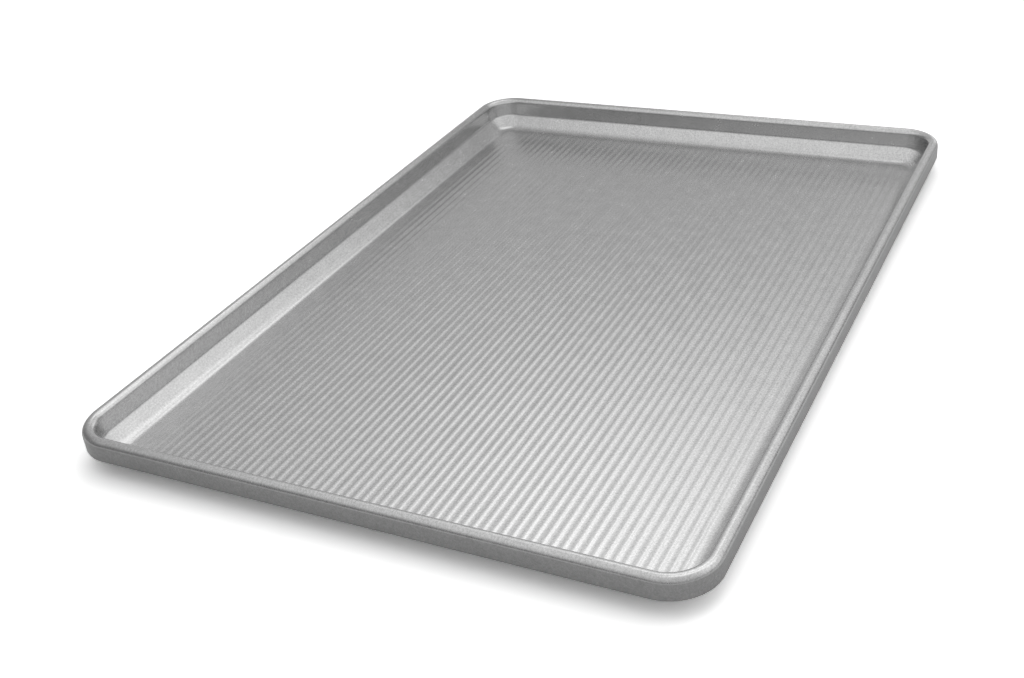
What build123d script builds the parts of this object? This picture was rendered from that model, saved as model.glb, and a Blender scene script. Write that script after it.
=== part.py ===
from build123d import *
from math import cos, radians, sin, tan
import os

# Jelly roll pan of coated steel sheet. X runs along the long sides, Y across, Z up.
# The origin lies under the middle of the pan, on the surface that it stands on.

# Overall sizes, over the outer faces of the rim.
outer_length = 457.0
outer_width = 322.0
corner_radius = 23.0
inner_depth = 19.5  # rim top to the flat border of the floor
sheet = 0.8

# Rim: a round fold over the wire, a flat skirt outside it, and a hem along the skirt's lower edge.
wire_diameter = 4.8
wire_clearance = 0.05
skirt_height = 11.3
hem_gap = 0.2
hem_clearance = 0.3  # hem's cut edge to the wire above it
wire_end_gap = 1.0

# Wall below the rim, from the rim top down.
upper_wall_depth = 11.7
bend_radius = 2.0
slope_angle = 47.0
foot_radius = 8.6

# Ridges pressed up from the floor, parallel to the long sides.
ridge_pitch = 4.7
ridge_flank_angle = 10.0
valley_flat = 0.4
valley_radius = 4.5
crest_radius = 6.0
side_margin = 0.1  # least flat border between the foot and the ridges, along the long sides
end_margin = 4.3  # flat border beyond the ridges' ends
run_out_length = 2.0
section_lap = 0.3  # how far the wall's section reaches over the flat border

# Sizes that follow from the values above.
height = inner_depth + sheet
rim_radius = wire_diameter / 2 + wire_clearance + sheet
rim_width = 2 * rim_radius
rim_centre_height = height - rim_radius
hem_radius = sheet + hem_gap / 2
hem_centre_height = height - skirt_height + hem_radius
hem_leaf_inset = 2 * hem_radius
hem_reach = rim_radius - hem_leaf_inset
hem_edge_height = rim_centre_height - ((wire_diameter / 2) ** 2 - hem_reach**2) ** 0.5 - hem_clearance

bend_turn = 90 - slope_angle
bend_setback = bend_radius * tan(radians(bend_turn / 2))
foot_setback = foot_radius * tan(radians(slope_angle / 2))
slope_drop = inner_depth - upper_wall_depth
slope_length = slope_drop / sin(radians(slope_angle)) - bend_setback - foot_setback
foot_inset = rim_width + slope_drop / tan(radians(slope_angle)) + foot_setback
floor_inset = foot_inset + section_lap

field_length = outer_length - 2 * (foot_inset + end_margin)
ridge_count = int((outer_width - 2 * (foot_inset + side_margin)) / ridge_pitch)
field_width = ridge_count * ridge_pitch
flank_run = ridge_pitch / 2 - valley_flat / 2 - (valley_radius + crest_radius) * sin(radians(ridge_flank_angle))
flank_length = flank_run / cos(radians(ridge_flank_angle))
ridge_rounding = (valley_radius + crest_radius) * (1 - cos(radians(ridge_flank_angle)))
ridge_height = ridge_rounding + flank_length * sin(radians(ridge_flank_angle))

os.makedirs("parts", exist_ok=True)


def half_loop(inset, end_gap):
    """Half of a rounded rectangle inside the outer face, from the middle of one long side to the other."""
    half_length = outer_length / 2 - inset
    half_width = outer_width / 2 - inset
    return FilletPolyline(
        (end_gap / 2, -half_width),
        (half_length, -half_width),
        (half_length, half_width),
        (0, half_width),
        radius=corner_radius - inset,
    )


def ridge_face(base_height, valley_arc, crest_arc):
    """One pitch of the corrugated floor's upper or lower face, drawn from left to right."""
    start = (-ridge_pitch / 2, base_height)
    flat_start = Line(start, (start[0] + valley_flat / 2, base_height))
    foot_up = JernArc(flat_start @ 1, (1, 0), valley_arc, ridge_flank_angle)
    flank_up = PolarLine(foot_up @ 1, flank_length, ridge_flank_angle)
    crest = JernArc(flank_up @ 1, flank_up % 1, crest_arc, -2 * ridge_flank_angle)
    flank_down = PolarLine(crest @ 1, flank_length, -ridge_flank_angle)
    foot_down = JernArc(flank_down @ 1, flank_down % 1, valley_arc, ridge_flank_angle)
    Line(foot_down @ 1, (ridge_pitch / 2, base_height))


# Half of the paths that the rim and the wire follow.
with BuildLine() as rim_path:
    half_loop(0, 0)
with BuildLine(Plane.XY.offset(rim_centre_height)) as wire_path:
    half_loop(rim_radius, wire_end_gap)

# Upright planes across the two paths, at their starts.
section_plane = Plane(origin=(0, -outer_width / 2, 0), x_dir=(0, 1, 0), z_dir=(1, 0, 0))
wire_plane = Plane(origin=wire_path.line @ 0, x_dir=(0, 1, 0), z_dir=(1, 0, 0))

# One pitch of the corrugated sheet. Its lower face repeats the upper one, a sheet's thickness below it.
with BuildSketch() as ridge_section:
    with BuildLine():
        ridge_face(sheet, valley_radius, crest_radius)
        ridge_face(0, valley_radius + sheet, crest_radius - sheet)
        Line((-ridge_pitch / 2, 0), (-ridge_pitch / 2, sheet))
        Line((ridge_pitch / 2, 0), (ridge_pitch / 2, sheet))
    make_face()

with BuildPart() as corrugated_floor:
    with BuildSketch(Plane.YZ.offset(-field_length / 2)):
        with GridLocations(ridge_pitch, 0, ridge_count, 1):
            add(ridge_section.sketch)
    extrude(amount=field_length)
    # Each ridge runs out to the flat border in a short ramp.
    with BuildSketch(Plane.XZ):
        with BuildLine():
            Polyline(
                (field_length / 2, sheet),
                (field_length / 2 - run_out_length, sheet + ridge_height),
                (field_length / 2 - run_out_length, height),
                (field_length / 2, height),
                close=True,
            )
        make_face()
        mirror(about=Plane.YZ)
    extrude(amount=field_width, both=True, mode=Mode.SUBTRACT)

with BuildPart() as pan_shell:
    # The seen face of the sheet, from the hem's cut edge over the rim and down the wall to the floor,
    # thickened and carried round the rounded rectangle.
    with BuildSketch(section_plane):
        with BuildLine():
            hem_leaf = Line((hem_leaf_inset, hem_edge_height), (hem_leaf_inset, hem_centre_height))
            hem = JernArc(hem_leaf @ 1, (0, -1), hem_radius, -180)
            skirt = Line(hem @ 1, (0, rim_centre_height))
            rim_top = JernArc(skirt @ 1, (0, 1), rim_radius, -180)
            upper_wall = Line(rim_top @ 1, (rim_width, height - upper_wall_depth + bend_setback))
            bend = JernArc(upper_wall @ 1, (0, -1), bend_radius, bend_turn)
            slope = PolarLine(bend @ 1, slope_length, -slope_angle)
            foot = JernArc(slope @ 1, slope % 1, foot_radius, slope_angle)
            Line(foot @ 1, (floor_inset, sheet))
            offset(amount=sheet, side=Side.RIGHT)
        make_face()
    sweep(path=rim_path.wires()[0])
    mirror(about=Plane.YZ)

    # Flat border round the ridges. It reaches in under their run-outs, so the hollows below end there.
    with BuildSketch():
        RectangleRounded(
            outer_length - 2 * floor_inset, outer_width - 2 * floor_inset, corner_radius - floor_inset
        )
        Rectangle(field_length - 2 * run_out_length, field_width, mode=Mode.SUBTRACT)
    extrude(amount=sheet)

    add(corrugated_floor.part)

with BuildPart() as rim_wire:
    with BuildSketch(wire_plane):
        Circle(wire_diameter / 2)
    sweep(path=wire_path.wires()[0])
    mirror(about=Plane.YZ)

pan_shell.part.label = "pan_shell"
export_step(pan_shell.part, "parts/pan_shell.step")
rim_wire.part.label = "rim_wire"
export_step(rim_wire.part, "parts/rim_wire.step")
print("ridges", ridge_count, "height", round(ridge_height, 3), "foot inset", round(foot_inset, 2))
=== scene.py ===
from math import cos, radians, sin

import bpy
from mathutils import Matrix, Vector


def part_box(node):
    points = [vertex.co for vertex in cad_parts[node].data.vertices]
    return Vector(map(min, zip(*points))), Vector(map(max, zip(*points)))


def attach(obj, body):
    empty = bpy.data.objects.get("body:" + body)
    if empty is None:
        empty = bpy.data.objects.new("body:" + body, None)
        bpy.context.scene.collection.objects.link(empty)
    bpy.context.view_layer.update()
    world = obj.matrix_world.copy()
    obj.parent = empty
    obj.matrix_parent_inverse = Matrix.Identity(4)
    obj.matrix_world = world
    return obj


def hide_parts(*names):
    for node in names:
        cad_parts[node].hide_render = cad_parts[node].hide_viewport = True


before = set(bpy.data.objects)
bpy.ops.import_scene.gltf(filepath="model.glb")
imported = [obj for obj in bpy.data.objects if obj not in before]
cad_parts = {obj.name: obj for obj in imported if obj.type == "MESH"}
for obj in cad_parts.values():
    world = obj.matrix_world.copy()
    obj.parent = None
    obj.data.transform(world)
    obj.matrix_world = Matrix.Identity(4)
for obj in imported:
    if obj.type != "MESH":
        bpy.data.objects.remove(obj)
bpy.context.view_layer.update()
scene = bpy.context.scene
panLow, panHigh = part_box("pan_shell")
print("Pan measures", [round(value, 4) for value in panHigh - panLow])

# How each tree's nodes are set out in its editor.
nodeLayout = {"perColumn": 6, "columnStep": 220, "rowStep": 190}


# Small helpers for building node trees.
def put(tree, kind, inputs=None, **settings):
    # Adds a node. Its settings come first, because some of them change which sockets it has.
    node = tree.nodes.new(kind)
    for name, value in settings.items():
        setattr(node, name, value)
    for name, value in (inputs or {}).items():
        feed(tree, node.inputs[name], value)
    return node


def feed(tree, socket, value):
    # Links one socket to another, or sets the socket's own value.
    if isinstance(value, bpy.types.NodeSocket):
        tree.links.new(value, socket)
    else:
        socket.default_value = value


def calc(tree, operation, first, second=0.0, third=0.0):
    node = put(tree, "ShaderNodeMath", {0: first, 1: second, 2: third}, operation=operation)
    return node.outputs[0]


def combine(tree, x, y, z):
    return put(tree, "ShaderNodeCombineXYZ", {0: x, 1: y, 2: z}).outputs[0]


def separate(tree, vector):
    return put(tree, "ShaderNodeSeparateXYZ", {0: vector}).outputs


def remap(tree, value, source, target=(0.0, 1.0), smooth=False):
    # Carries a value from one range to another, and holds it level beyond the ends.
    node = put(tree, "ShaderNodeMapRange", {
        "Value": value,
        "From Min": source[0],
        "From Max": source[1],
        "To Min": target[0],
        "To Max": target[1],
    }, interpolation_type="SMOOTHSTEP" if smooth else "LINEAR")
    return node.outputs[0]


def cornerSquare(tree, place, half, radius):
    # Square of how far a place lies past the start of a rounded corner, along one axis.
    past = calc(tree, "ADD", calc(tree, "SUBTRACT", calc(tree, "ABSOLUTE", place), half), radius)
    return calc(tree, "POWER", calc(tree, "MAXIMUM", past, 0.0), 2.0)


def edgeInset(tree, radius, squares):
    # How far inside a rounded rectangle's edge a place lies, up to the corners' radius.
    return calc(tree, "SUBTRACT", radius, calc(tree, "SQRT", calc(tree, "ADD", *squares)))


def pointPlace(tree):
    return separate(tree, put(tree, "GeometryNodeInputPosition").outputs[0])


def choose(tree, kind, values):
    # One value for each point of a short line, picked by the point's index.
    index = put(tree, "GeometryNodeInputIndex").outputs[0]
    node = put(tree, "GeometryNodeIndexSwitch", data_type=kind)
    while len(node.index_switch_items) < len(values):
        node.index_switch_items.new()
    feed(tree, node.inputs["Index"], index)
    for slot, value in enumerate(values):
        feed(tree, node.inputs[slot + 1], value)  # the first input is the index
    return node.outputs[0]


def join(tree, parts):
    joined = put(tree, "GeometryNodeJoinGeometry")
    for part in parts:
        tree.links.new(part.outputs[0], joined.inputs[0])
    return joined


def spread(tree):
    # Sets the nodes out in columns, in the order they were made.
    for order, node in enumerate(tree.nodes):
        column, row = divmod(order, nodeLayout["perColumn"])
        node.location = (nodeLayout["columnStep"] * column, -nodeLayout["rowStep"] * row)


# Camera, at the photograph's viewing angle.
photoView = {
    "place": (-0.57498, -0.2897, 0.35226),
    "aim": (-0.05513, 0.00776, 0.0),
    "roll": -6.66,  # degrees
    "lens": 45.81,  # millimetres, and the sensor too
    "sensor": 36.0,
    "nearest": 0.01,  # metres
}


def makeCamera(values):
    camera = bpy.data.objects.new("photoCamera", bpy.data.cameras.new("photoCamera"))
    camera.data.lens = values["lens"]
    camera.data.sensor_width = values["sensor"]
    camera.data.clip_start = values["nearest"]
    place = Vector(values["place"])
    turn = (Vector(values["aim"]) - place).to_track_quat("-Z", "Y").to_matrix().to_4x4()
    roll = Matrix.Rotation(radians(values["roll"]), 4, "Z")
    camera.matrix_world = Matrix.Translation(place) @ turn @ roll
    scene.collection.objects.link(camera)
    scene.camera = camera


makeCamera(photoView)
print("Camera placed")

# Pressed sheet. The outer size comes from the frame, and the rest of the section is set here, in metres.
sheetForm = {
    "Length": panHigh.x - panLow.x,
    "Width": panHigh.y - panLow.y,
    "Height": panHigh.z,
    "Sheet": 0.0008,
    "Corner Radius": 0.023,
    "Rim Radius": 0.00325,
    "Skirt Height": 0.0113,
    "Hem Radius": 0.0009,
    "Hem Leaf": 0.0058,  # height of the leaf folded up inside the skirt
    "Upper Wall": 0.0117,
    "Bend Radius": 0.0035,
    "Slope Angle": radians(47),
    "Foot Radius": 0.0086,
    "Border Lap": 0.00005,  # how far the section reaches over the flat border
    "Ridge Pitch": 0.0047,
    "Ridge Count": 61,
    "Ridge Slope": radians(7.5),
    "Valley Width": 0.00114,
    "Crest Rounding": 0.00025,
    "Valley Rounding": 0.00004,
    "End Margin": 0.0012,  # flat border between the foot and the ridges' ends
    "Run Out": 0.002,
    "Side Fade": 0.014,  # the first ridges along the left side rise step by step over this width
    "Corner Steps": 26,
    "Section Steps": 10,
    "Ridge Steps": 12,
    "End Rows": 16,
    "Row Crowding": 3.0,  # how closely the floor's rows crowd together towards the ridges' ends
    "Weld Distance": 0.00001,
}
wholeNumbers = ("Ridge Count", "Corner Steps", "Section Steps", "Ridge Steps", "End Rows")
sharpTurn = radians(40)  # an edge that turns by more is shaded as sharp


def pressedWall(tree, size, corners):
    # The section, rounded at each corner and carried round the outline of the outer face.
    outline = put(tree, "GeometryNodeCurvePrimitiveQuadrilateral", {
        "Width": size["Length"],
        "Height": size["Width"],
    })
    rounded = put(tree, "GeometryNodeFilletCurve", {
        "Curve": outline.outputs[0],
        "Count": size["Corner Steps"],
        "Radius": size["Corner Radius"],
    }, mode="POLY")
    path = put(tree, "GeometryNodeReverseCurve", {"Curve": rounded.outputs[0]})  # so insets run inwards

    places = [combine(tree, inset, height, 0.0) for inset, height, _ in corners]
    radii = [radius for _, _, radius in corners]
    chain = put(tree, "GeometryNodeMeshLine", {"Count": len(corners)})
    placed = put(tree, "GeometryNodeSetPosition", {
        "Geometry": chain.outputs[0],
        "Position": choose(tree, "VECTOR", places),
    })
    section = put(tree, "GeometryNodeFilletCurve", {
        "Curve": put(tree, "GeometryNodeMeshToCurve", {"Mesh": placed.outputs[0]}).outputs[0],
        "Count": size["Section Steps"],
        "Radius": choose(tree, "FLOAT", radii),
    }, mode="POLY")
    upright = put(tree, "GeometryNodeTransform", {
        "Geometry": section.outputs[0],
        "Scale": (1.0, -1.0, 1.0),  # so heights run upwards
    })
    return put(tree, "GeometryNodeCurveToMesh", {
        "Curve": path.outputs[0],
        "Profile Curve": upright.outputs[0],
    })


def ridgeHeight(tree, size, fromFirst):
    # Two straight flanks, rounded where they meet at the crest and where they reach the valley.
    halfPitch = calc(tree, "MULTIPLY", size["Ridge Pitch"], 0.5)
    fromValley = calc(tree, "PINGPONG", fromFirst, halfPitch)
    fromCrest = calc(tree, "SUBTRACT", halfPitch, fromValley)
    steep = calc(tree, "TANGENT", size["Ridge Slope"])
    reach = calc(tree, "SUBTRACT", halfPitch, calc(tree, "MULTIPLY", size["Valley Width"], 0.5))
    nearFlank = calc(tree, "MULTIPLY", steep, calc(tree, "SUBTRACT", reach, fromCrest))
    farFlank = calc(tree, "MULTIPLY", steep, calc(tree, "ADD", reach, fromCrest))
    peak = calc(tree, "SMOOTH_MIN", nearFlank, farFlank, size["Crest Rounding"])
    return calc(tree, "SMOOTH_MAX", peak, 0.0, size["Valley Rounding"])


def ridgedFloor(tree, size, footInset):
    # A grid whose rows crowd together where the ridges run out, and whose corners are rounded.
    halfLength = calc(tree, "SUBTRACT", calc(tree, "MULTIPLY", size["Length"], 0.5), footInset)
    halfLength = calc(tree, "SUBTRACT", halfLength, size["End Margin"])
    fieldWidth = calc(tree, "MULTIPLY", size["Ridge Pitch"], size["Ridge Count"])
    halfWidth = calc(tree, "MULTIPLY", fieldWidth, 0.5)
    grid = put(tree, "GeometryNodeMeshGrid", {
        "Size X": 2.0,  # from -1 to 1, and drawn out to the real length below
        "Size Y": fieldWidth,
        "Vertices X": calc(tree, "MULTIPLY_ADD", size["End Rows"], 2.0, 1.0),
        "Vertices Y": calc(tree, "MULTIPLY_ADD", size["Ridge Count"], size["Ridge Steps"], 1.0),
    })
    at = pointPlace(tree)
    fromOutline = calc(tree, "SUBTRACT", calc(tree, "MULTIPLY", size["Width"], 0.5), halfWidth)
    fieldCorner = calc(tree, "SUBTRACT", size["Corner Radius"], fromOutline)
    squareY = cornerSquare(tree, at["Y"], halfWidth, fieldCorner)
    chordSquare = calc(tree, "SUBTRACT", calc(tree, "POWER", fieldCorner, 2.0), squareY)
    chord = calc(tree, "SQRT", calc(tree, "MAXIMUM", chordSquare, 0.0))
    rowReach = calc(tree, "ADD", calc(tree, "SUBTRACT", halfLength, fieldCorner), chord)
    fromEnd = calc(tree, "SUBTRACT", 1.0, calc(tree, "ABSOLUTE", at["X"]))
    crowded = calc(tree, "SUBTRACT", 1.0, calc(tree, "POWER", fromEnd, size["Row Crowding"]))
    alongX = calc(tree, "MULTIPLY", calc(tree, "MULTIPLY", calc(tree, "SIGN", at["X"]), crowded), rowReach)

    # The ridges run out along the field's rounded edge, and rise slowly along the left side.
    ridge = ridgeHeight(tree, size, calc(tree, "ADD", halfWidth, at["Y"]))
    squareX = cornerSquare(tree, alongX, halfLength, fieldCorner)
    inside = edgeInset(tree, fieldCorner, (squareX, squareY))
    edgeFade = remap(tree, inside, (0.0, size["Run Out"]), smooth=True)
    fromLeft = calc(tree, "SUBTRACT", halfWidth, at["Y"])
    sideFade = remap(tree, fromLeft, (0.0, size["Side Fade"]), smooth=True)
    raised = calc(tree, "MULTIPLY_ADD", ridge, calc(tree, "MULTIPLY", edgeFade, sideFade), size["Sheet"])
    return put(tree, "GeometryNodeSetPosition", {
        "Geometry": grid.outputs["Mesh"],
        "Position": combine(tree, alongX, at["Y"], raised),
    })


def flatBorder(tree, size, wall, floor):
    # Fills the ring between the foot and the ridged field, on the same points as both.
    faceCount = put(tree, "GeometryNodeInputMeshEdgeNeighbors").outputs[0]
    openEdge = put(tree, "FunctionNodeCompare", {
        2: faceCount,
        3: 1,
    }, data_type="INT", operation="EQUAL").outputs[0]
    low = calc(tree, "LESS_THAN", pointPlace(tree)["Z"], calc(tree, "MULTIPLY", size["Sheet"], 2.0))
    footEdge = put(tree, "FunctionNodeBooleanMath", {0: openEdge, 1: low}, operation="AND").outputs[0]
    rings = join(tree, [
        put(tree, "GeometryNodeMeshToCurve", {"Mesh": mesh.outputs[0], "Selection": edge})
        for mesh, edge in ((wall, footEdge), (floor, openEdge))
    ])
    filled = put(tree, "GeometryNodeFillCurve", {"Curve": rings.outputs[0]}, mode="TRIANGLES")
    return put(tree, "GeometryNodeSetPosition", {
        "Geometry": filled.outputs[0],
        "Offset": combine(tree, 0.0, 0.0, size["Sheet"]),
    })


def sheetTree(material):
    tree = bpy.data.node_groups.new("pressedSheet", "GeometryNodeTree")
    tree.interface.new_socket("Geometry", in_out="INPUT", socket_type="NodeSocketGeometry")
    for name in sheetForm:
        kind = "NodeSocketInt" if name in wholeNumbers else "NodeSocketFloat"
        tree.interface.new_socket(name, in_out="INPUT", socket_type=kind)
    tree.interface.new_socket("Geometry", in_out="OUTPUT", socket_type="NodeSocketGeometry")
    size = put(tree, "NodeGroupInput").outputs

    # Insets, which run inwards from the outer face, and heights.
    leafInset = calc(tree, "MULTIPLY", size["Hem Radius"], 2.0)
    hemBottom = calc(tree, "SUBTRACT", size["Height"], size["Skirt Height"])
    leafTop = calc(tree, "ADD", hemBottom, size["Hem Leaf"])
    rimWidth = calc(tree, "MULTIPLY", size["Rim Radius"], 2.0)
    bendHeight = calc(tree, "SUBTRACT", size["Height"], size["Upper Wall"])
    slopeDrop = calc(tree, "SUBTRACT", bendHeight, size["Sheet"])
    slopeRun = calc(tree, "DIVIDE", slopeDrop, calc(tree, "TANGENT", size["Slope Angle"]))
    footCorner = calc(tree, "ADD", rimWidth, slopeRun)
    footHalf = calc(tree, "TANGENT", calc(tree, "MULTIPLY", size["Slope Angle"], 0.5))
    footInset = calc(tree, "MULTIPLY_ADD", size["Foot Radius"], footHalf, footCorner)
    borderInset = calc(tree, "ADD", footInset, size["Border Lap"])

    # The section's corners from the hem's cut edge to the floor: inset, height, radius.
    wall = pressedWall(tree, size, [
        (leafInset, leafTop, 0.0),
        (leafInset, hemBottom, size["Hem Radius"]),
        (0.0, hemBottom, size["Hem Radius"]),
        (0.0, size["Height"], size["Rim Radius"]),
        (rimWidth, size["Height"], size["Rim Radius"]),
        (rimWidth, bendHeight, size["Bend Radius"]),
        (footCorner, size["Sheet"], size["Foot Radius"]),
        (borderInset, size["Sheet"], 0.0),
    ])
    floor = ridgedFloor(tree, size, footInset)
    border = flatBorder(tree, size, wall, floor)

    joined = join(tree, (border, floor, wall))
    welded = put(tree, "GeometryNodeMergeByDistance", {
        "Geometry": joined.outputs[0],
        "Distance": size["Weld Distance"],
    })
    smooth = put(tree, "GeometryNodeSetShadeSmooth", {"Geometry": welded.outputs[0]})
    real = put(tree, "GeometryNodeRealizeInstances", {"Geometry": smooth.outputs[0]})
    coated = put(tree, "GeometryNodeSetMaterial", {"Geometry": real.outputs[0], "Material": material})
    put(tree, "NodeGroupOutput", {"Geometry": coated.outputs[0]})
    spread(tree)
    return tree


def setInputs(modifier, values):
    # Sets a node modifier's inputs by their sockets' identifiers.
    for item in modifier.node_group.interface.items_tree:
        if item.item_type == "SOCKET" and item.in_out == "INPUT" and item.name in values:
            modifier[item.identifier] = values[item.name]


def keepShape(holder):
    # Turns what the modifiers make into a plain mesh, and removes them.
    graph = bpy.context.evaluated_depsgraph_get()
    shaped = holder.evaluated_get(graph)
    mesh = bpy.data.meshes.new_from_object(shaped, preserve_all_data_layers=True, depsgraph=graph)
    mesh.name = holder.name
    holder.modifiers.clear()
    holder.data = mesh


def makePanShell(material):
    shell = bpy.data.objects.new("panShell", bpy.data.meshes.new("panShellStart"))
    scene.collection.objects.link(shell)
    press = shell.modifiers.new("pressedSheet", "NODES")
    press.node_group = sheetTree(material)
    setInputs(press, sheetForm)
    plate = shell.modifiers.new("sheetThickness", "SOLIDIFY")
    plate.thickness = sheetForm["Sheet"]
    plate.offset = -1.0  # the section is the upper and outer face, so the metal lies behind it
    plate.use_even_offset = True
    keepShape(shell)
    shell.data.set_sharp_from_angle(angle=sharpTurn)
    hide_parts("pan_shell")
    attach(shell, "root")
    return shell


def newGroup(name, inputs, outputs):
    tree = bpy.data.node_groups.new(name, "ShaderNodeTree")
    for side, sockets in (("INPUT", inputs), ("OUTPUT", outputs)):
        for socketName, kind in sockets.items():
            tree.interface.new_socket(socketName, in_out=side, socket_type="NodeSocket" + kind)
    return tree


# Grain that both finishes share: fine speckle, wide soft blotches, and faint lines along X.
grainForm = {
    "noise": {
        "Speckle": {"Detail": 1.5, "Roughness": 0.7},
        "Blotch": {"Detail": 3.0, "Roughness": 0.55},
        "Lines": {"Detail": 2.0, "Roughness": 0.5},
    },
    "toneSpan": (0.27, 0.73),  # the span of the mixed grain that runs from dark to light
    "patchShares": (0.6, 0.4),  # of blotches and tone in the roughness
    "patchSpan": (0.2, 0.8),  # the span of that mix that runs from smooth to rough
}


def grainGroup():
    # Each output lies round a half.
    sizes = ("Speckle Size", "Blotch Size", "Line Width", "Line Length")
    inputs = {"Place": "Vector", **{name: "Float" for name in sizes}}
    tree = newGroup("metalGrain", inputs, {name: "Float" for name in grainForm["noise"]})
    given = put(tree, "NodeGroupInput").outputs
    perMetre = {name: calc(tree, "DIVIDE", 1.0, given[name]) for name in sizes}
    squeeze = combine(tree, perMetre["Line Length"], perMetre["Line Width"], perMetre["Line Width"])
    drawn = put(tree, "ShaderNodeVectorMath", {0: given["Place"], 1: squeeze}, operation="MULTIPLY")
    fields = {
        "Speckle": (given["Place"], perMetre["Speckle Size"]),
        "Blotch": (given["Place"], perMetre["Blotch Size"]),
        "Lines": (drawn.outputs[0], 1.0),
    }
    layers = {}
    for name, (place, scale) in fields.items():
        noise = put(tree, "ShaderNodeTexNoise", {"Vector": place, "Scale": scale, **grainForm["noise"][name]})
        layers[name] = noise.outputs[0]
    put(tree, "NodeGroupOutput", layers)
    spread(tree)
    return tree


# Finishes: the coated sheet, and the plain drawn wire inside the rim. Sizes and depths are in metres.
sheetFinish = {
    "dark": (0.45, 0.45, 0.45, 1.0),
    "light": (0.69, 0.69, 0.69, 1.0),
    "sizes": {"Speckle Size": 0.001, "Blotch Size": 0.009, "Line Width": 0.0006, "Line Length": 0.05},
    "shares": (0.62, 0.2, 0.18),  # of speckle, blotches and lines in the tone
    "roughness": (0.22, 0.28),
    "depth": 0.000003,
    "skirtPaintedShade": 0.62,  # painted shade: the outer skirt's colour is scaled darker than the rest, standing in for the shadowed table it mirrors
    "skirtTop": 0.0183,
}
wireFinish = {
    "dark": (0.36, 0.355, 0.35, 1.0),
    "light": (0.54, 0.535, 0.53, 1.0),
    "sizes": {"Speckle Size": 0.0004, "Blotch Size": 0.02, "Line Width": 0.0002, "Line Length": 0.04},
    "shares": (0.2, 0.2, 0.6),
    "roughness": (0.3, 0.45),
    "depth": 0.000006,
}


def skirtShadeMask(tree, place, top):
    # Where shade is painted: one on the outer face below the rim, and nothing elsewhere.
    at = separate(tree, place)
    corner = sheetForm["Corner Radius"]
    squares = [
        cornerSquare(tree, at[axis], sheetForm[span] / 2, corner)
        for axis, span in (("X", "Length"), ("Y", "Width"))
    ]
    outer = calc(tree, "LESS_THAN", edgeInset(tree, corner, squares), sheetForm["Sheet"] / 2)
    below = remap(tree, at["Z"], (top - sheetForm["Hem Radius"], top), (1.0, 0.0), smooth=True)
    return calc(tree, "MULTIPLY", outer, below)


def metalFinish(name, values, group):
    material = bpy.data.materials.new(name)
    material.use_nodes = True
    tree = material.node_tree
    shader = tree.nodes["Principled BSDF"]
    place = put(tree, "ShaderNodeTexCoord").outputs["Object"]
    grain = put(tree, "ShaderNodeGroup", {"Place": place, **values["sizes"]}, node_tree=group).outputs
    total = 0.0
    for layer, share in zip(grain, values["shares"]):
        total = calc(tree, "MULTIPLY_ADD", layer, share, total)
    tone = remap(tree, total, grainForm["toneSpan"])
    mixed = put(tree, "ShaderNodeMix", {0: tone, 6: values["dark"], 7: values["light"]}, data_type="RGBA")
    colour = mixed.outputs[2]
    # Painted shade: the outer skirt's colour is darkened, standing in for the shadowed table that it mirrors.
    if "skirtPaintedShade" in values:
        paintedShade = remap(tree, skirtShadeMask(tree, place, values["skirtTop"]), (0.0, 1.0), (1.0, values["skirtPaintedShade"]))
        colour = put(tree, "ShaderNodeVectorMath", {0: colour, 3: paintedShade}, operation="SCALE").outputs[0]
    blotchShare, toneShare = grainForm["patchShares"]
    patchy = calc(tree, "MULTIPLY_ADD", grain["Blotch"], blotchShare, calc(tree, "MULTIPLY", tone, toneShare))
    bump = put(tree, "ShaderNodeBump", {"Distance": values["depth"], "Height": total})
    shader.inputs["Metallic"].default_value = 1.0
    feed(tree, shader.inputs["Base Color"], colour)
    feed(tree, shader.inputs["Roughness"], remap(tree, patchy, grainForm["patchSpan"], values["roughness"]))
    feed(tree, shader.inputs["Normal"], bump.outputs[0])
    spread(tree)
    return material


metalGrain = grainGroup()
coatedSheet = metalFinish("coatedSheet", sheetFinish, metalGrain)
drawnWire = metalFinish("drawnWire", wireFinish, metalGrain)
panShell = makePanShell(coatedSheet)
print("Pan shell made with", len(panShell.data.polygons), "faces")
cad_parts["rim_wire"].data.materials[0] = drawnWire
print("Finishes made")


# Studio: a white table, soft light from panels far round it, and a canopy of light close above the pan.
# Azimuth 0 looks along the pan, away from the camera. Lengths are in metres, and angles in degrees, a panel's
# reach too.
studioForm = {
    "tableReach": 12.0,
    "tableWhite": 0.85,
    "tableSeen": (1.75, 3.0),  # white as the camera sees it, near and far, so that the open table is white
    "tableSpan": (0.3, 1.3),  # where near ends and far begins
    "tableMirrored": 0.75,  # white as the pan mirrors it
    "fill": 0.25,
    "backdrop": 1.0,  # plain white behind the table
    "panels": {
        "rightBank": {"azimuth": -64, "elevation": 30, "reach": 50, "strength": 0.33},
        "backPanel": {"azimuth": 17, "elevation": 48, "reach": 13, "strength": 1.35},
        "upperBack": {"azimuth": -25, "elevation": 58, "reach": 23, "strength": 0.96},
        "farGlow": {"azimuth": -4, "elevation": 6, "reach": 33, "strength": 0.94},
        "leftGlow": {"azimuth": 37, "elevation": 8, "reach": 52, "strength": 0.39},
        "rearLeft": {"azimuth": 138, "elevation": 60, "reach": 47, "strength": 0.13},
        "overhead": {"azimuth": 0, "elevation": 78, "reach": 21, "strength": 0.82},
    },
    "canopy": {
        "azimuth": -117,
        "elevation": 75,
        "distance": 0.189,
        "radius": 0.819,
        "strength": 0.68,
        "steps": 48,
    },
}


def towards(values):
    # Direction of a light, seen from the middle of the pan.
    turn, rise = radians(values["azimuth"]), radians(values["elevation"])
    return Vector((cos(rise) * cos(turn), cos(rise) * sin(turn), sin(rise)))


def flatFace(name, corners):
    mesh = bpy.data.meshes.new(name)
    mesh.from_pydata(corners, [], [tuple(range(len(corners)))])
    face = bpy.data.objects.new(name, mesh)
    scene.collection.objects.link(face)
    return face


def emptyMaterial(name):
    material = bpy.data.materials.new(name)
    material.use_nodes = True
    material.node_tree.nodes.clear()
    return material


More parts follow.
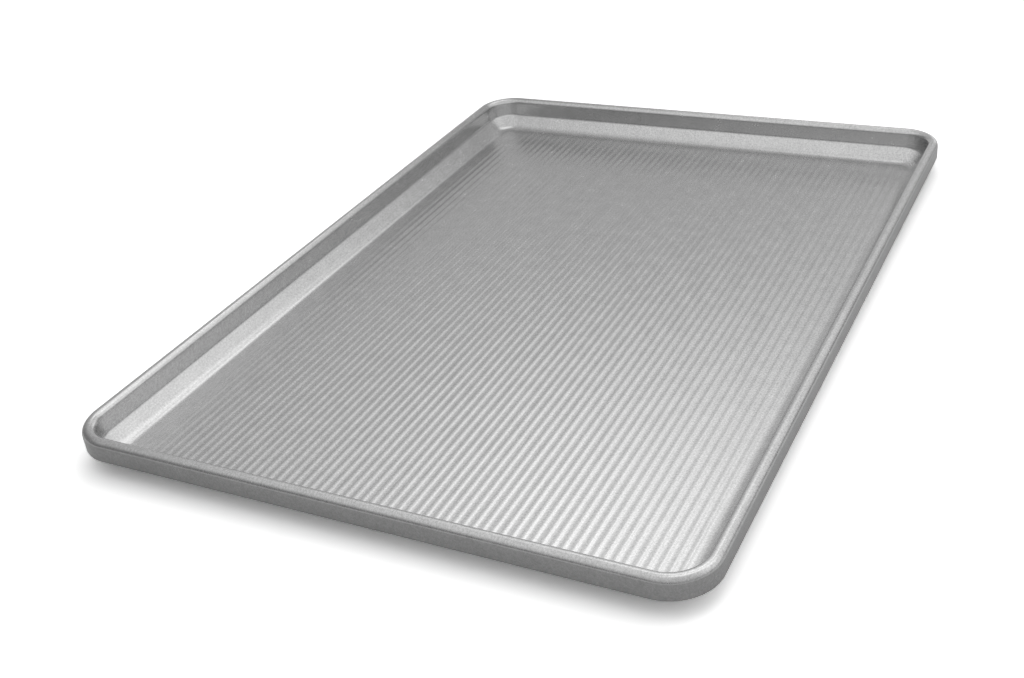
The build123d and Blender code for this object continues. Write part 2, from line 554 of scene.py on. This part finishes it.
def fromMiddle(tree):
    # Distance from the middle of the piece that carries the material.
    place = put(tree, "ShaderNodeTexCoord").outputs["Object"]
    return put(tree, "ShaderNodeVectorMath", {0: place}, operation="LENGTH").outputs["Value"]


def makeTable(values):
    reach, white = values["tableReach"], values["tableWhite"]
    corners = [(-reach, -reach, 0), (reach, -reach, 0), (reach, reach, 0), (-reach, reach, 0)]
    studioTable = flatFace("studioTable", corners)

    material = emptyMaterial("tableWhite")
    tree = material.node_tree
    ray = put(tree, "ShaderNodeLightPath").outputs
    seen = calc(tree, "ADD", ray["Is Camera Ray"], ray["Is Transmission Ray"])
    lifts = [level - white for level in values["tableSeen"]]
    lift = remap(tree, fromMiddle(tree), values["tableSpan"], lifts)
    shown = calc(tree, "MULTIPLY_ADD", seen, lift, white)
    shown = calc(tree, "MULTIPLY_ADD", ray["Is Glossy Ray"], values["tableMirrored"] - white, shown)
    paint = put(tree, "ShaderNodeBsdfDiffuse", {"Color": shown})
    put(tree, "ShaderNodeOutputMaterial", {"Surface": paint.outputs[0]})
    spread(tree)
    studioTable.data.materials.append(material)


def makeCanopy(values):
    # A round soft light that the camera doesn't see: full in the middle, fading to nothing at its edge.
    radius, steps = values["radius"], values["steps"]
    turns = [radians(360 / steps * step) for step in range(steps)]
    canopy = flatFace("studioCanopy", [(radius * cos(turn), radius * sin(turn), 0) for turn in turns])
    direction = towards(values)
    facing = direction.to_track_quat("-Z", "Y").to_matrix().to_4x4()
    canopy.matrix_world = Matrix.Translation(direction * values["distance"]) @ facing
    canopy.visible_camera = False

    material = emptyMaterial("canopyLight")
    tree = material.node_tree
    fade = remap(tree, fromMiddle(tree), (0.0, radius), (values["strength"], 0.0), smooth=True)
    glow = put(tree, "ShaderNodeEmission", {"Strength": fade})
    clear = put(tree, "ShaderNodeBsdfTransparent")
    both = put(tree, "ShaderNodeAddShader", {0: clear.outputs[0], 1: glow.outputs[0]})
    put(tree, "ShaderNodeOutputMaterial", {"Surface": both.outputs[0]})
    spread(tree)
    canopy.data.materials.append(material)


def panelGroup():
    # A round soft light far away: full in the middle, fading to nothing at its reach.
    inputs = {"Direction": "Vector", "Reach": "Float", "Strength": "Float"}
    tree = newGroup("softPanel", inputs, {"Light": "Float"})
    given = put(tree, "NodeGroupInput").outputs
    ahead = put(tree, "ShaderNodeTexCoord").outputs["Generated"]
    cosine = put(tree, "ShaderNodeVectorMath", {0: ahead, 1: given["Direction"]}, operation="DOT_PRODUCT")
    angle = calc(tree, "ARCCOSINE", cosine.outputs["Value"])
    fade = remap(tree, angle, (0.0, given["Reach"]), (given["Strength"], 0.0), smooth=True)
    put(tree, "NodeGroupOutput", {"Light": fade})
    spread(tree)
    return tree


def lightStudio(values):
    world = bpy.data.worlds.new("studioLight")
    scene.world = world
    world.use_nodes = True
    tree = world.node_tree
    tree.nodes.clear()
    group = panelGroup()
    total = values["fill"]
    for name, panel in values["panels"].items():
        light = put(tree, "ShaderNodeGroup", {
            "Direction": towards(panel),
            "Reach": radians(panel["reach"]),
            "Strength": panel["strength"],
        }, node_tree=group, label=name)
        total = calc(tree, "ADD", light.outputs["Light"], total)
    seen = put(tree, "ShaderNodeLightPath").outputs["Is Camera Ray"]
    shown = put(tree, "ShaderNodeMix", {0: seen, 2: total, 3: values["backdrop"]}).outputs[0]
    sky = put(tree, "ShaderNodeBackground", {"Color": (1.0, 1.0, 1.0, 1.0), "Strength": shown})
    put(tree, "ShaderNodeOutputWorld", {"Surface": sky.outputs[0]})
    spread(tree)


makeTable(studioForm)
makeCanopy(studioForm["canopy"])
lightStudio(studioForm)
print("Studio lit by", len(studioForm["panels"]), "panels and a canopy")

scene.view_settings.view_transform = "Standard"
